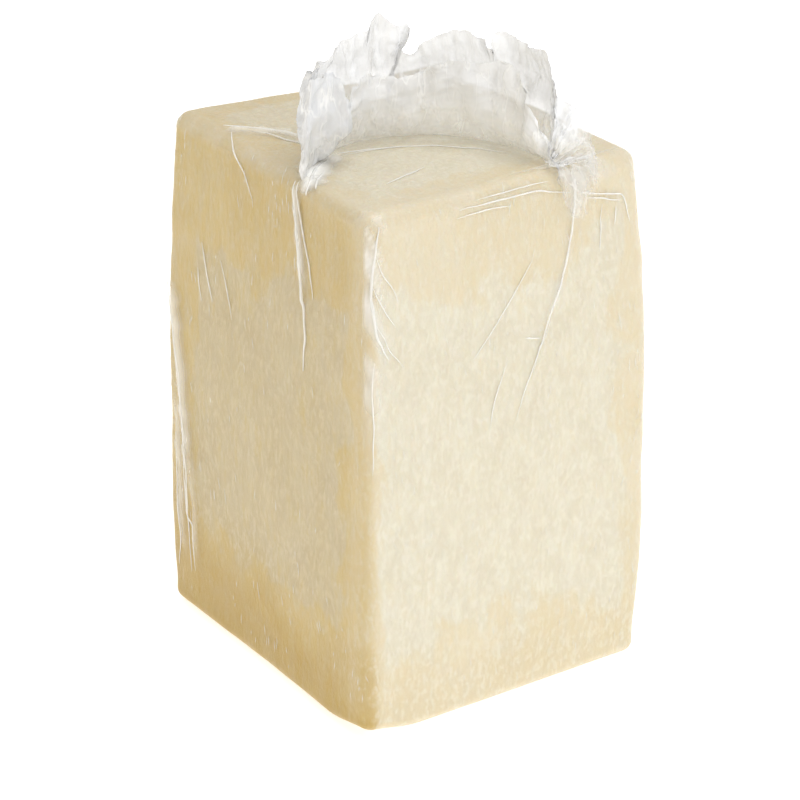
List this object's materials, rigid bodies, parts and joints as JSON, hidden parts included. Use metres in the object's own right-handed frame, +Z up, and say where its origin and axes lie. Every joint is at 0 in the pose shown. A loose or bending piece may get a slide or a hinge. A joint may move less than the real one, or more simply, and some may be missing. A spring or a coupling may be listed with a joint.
{
  "type": "cheese block",
  "caption": "Tall rectangular block of pale cheese sealed in a clear shrink-film bag, with the bag's crumpled neck standing along its seal on top.",
  "frame": {"origin": "middle of the flat underside of the bag, on the surface that the block stands on", "axes": "+Z up the block, +X to the right along its front face, +Y from its front face to its back face"},
  "size_m": [0.1744, 0.1904, 0.3505],
  "materials": {
    "cheese": "satin",
    "film": "gloss"
  },
  "bodies": {
    "root": {"cheese_block": "cheese", "film_bag": "film"}
  },
  "joints": []
}
